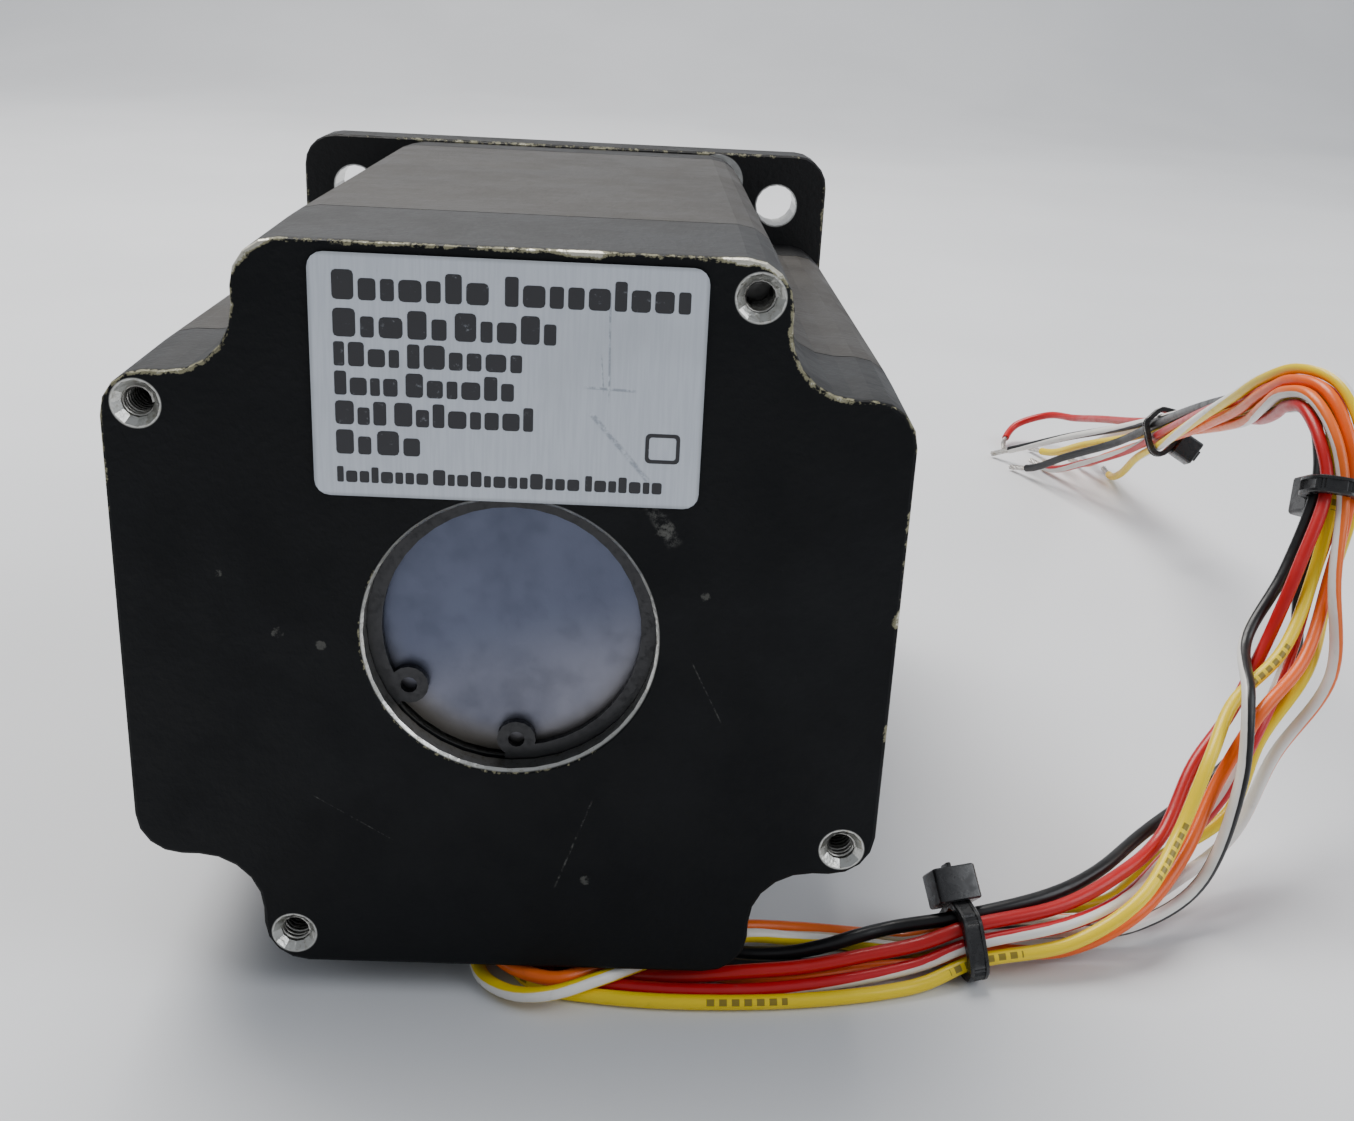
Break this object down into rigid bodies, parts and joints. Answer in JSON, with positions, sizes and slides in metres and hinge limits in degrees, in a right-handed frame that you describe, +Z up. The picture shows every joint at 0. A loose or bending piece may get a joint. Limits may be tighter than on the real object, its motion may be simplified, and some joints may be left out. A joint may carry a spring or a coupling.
{
  "type": "stepper motor",
  "caption": "Square hybrid stepper motor with a flanged face, notched corners, a flatted shaft and free coloured lead wires held by cable ties.",
  "frame": {"origin": "centre of the motor's footprint, on the surface it lies on (leads and ties not counted)", "axes": "+Y from the rear face towards the shaft end, +Z up, +X to the right seen from the rear; the shaft axis is tipped 1.87 degrees below +Y because the rear end lies on the leads"},
  "size_m": [0.1748, 0.2357, 0.0887],
  "materials": {
    "bell": "black paint, worn at the edges",
    "stator": "black paint over steel laminations",
    "steel": "ground steel",
    "zinc": "bright screw heads",
    "cover": "satin pressed steel",
    "ring": "black spring steel",
    "laminations": "ground lamination edges",
    "magnet": "sintered magnet",
    "copper": "enamelled copper wire",
    "label": "silver film",
    "rubber": "black",
    "nylon": "black nylon",
    "lead_yellow": "yellow insulation",
    "lead_red": "red insulation",
    "lead_orange": "orange insulation",
    "lead_black": "black insulation"
  },
  "bodies": {
    "housing": {"rear_bell": "bell", "stator_stack": "stator", "front_bell": "bell", "rear_cover_disc": "cover", "retaining_ring": "ring", "wave_washer": "steel", "label": "label", "lead_grommet": "rubber", "rear_bearing_outer_ring": "steel", "front_bearing_outer_ring": "steel", "tie_screw_1": "zinc", "tie_screw_2": "zinc", "tie_screw_3": "zinc", "tie_screw_4": "zinc", "coil_1": "copper", "coil_2": "copper", "coil_3": "copper", "coil_4": "copper", "coil_5": "copper", "coil_6": "copper", "coil_7": "copper", "coil_8": "copper", "lead_yellow": "lead_yellow", "lead_red_white": "lead_red", "lead_red": "lead_red", "lead_orange": "lead_orange", "lead_black_white": "lead_black", "lead_black": "lead_black", "lead_yellow_white": "lead_yellow", "lead_orange_white": "lead_orange", "cable_tie_1": "nylon", "cable_tie_2": "nylon", "cable_tie_3": "nylon"},
    "rotor": {"rotor_shaft": "steel", "rotor_cup_rear": "laminations", "rotor_cup_front": "laminations", "rotor_magnet": "magnet", "rear_bearing_inner_ring": "steel", "front_bearing_inner_ring": "steel"},
    "rear_cage": {"rear_bearing_balls": "steel"},
    "front_cage": {"front_bearing_balls": "steel"}
  },
  "joints": [
    {"name": "rotor_spin", "type": "hinge", "parent": "housing", "child": "rotor", "pos_m": [0, 0.04044, 0.04288], "axis": [0, 0.9995, -0.0326], "continuous": true},
    {"name": "rear_cage_spin", "type": "hinge", "parent": "housing", "child": "rear_cage", "pos_m": [0, -0.05971, 0.04614], "axis": [0, 0.9995, -0.0326], "continuous": true},
    {"name": "front_cage_spin", "type": "hinge", "parent": "housing", "child": "front_cage", "pos_m": [0, 0.02945, 0.04323], "axis": [0, 0.9995, -0.0326], "continuous": true}
  ],
  "couplings": [
    {"joint": "rear_cage_spin", "follows": "rotor_spin", "ratio": 0.4091},
    {"joint": "front_cage_spin", "follows": "rotor_spin", "ratio": 0.4091}
  ]
}
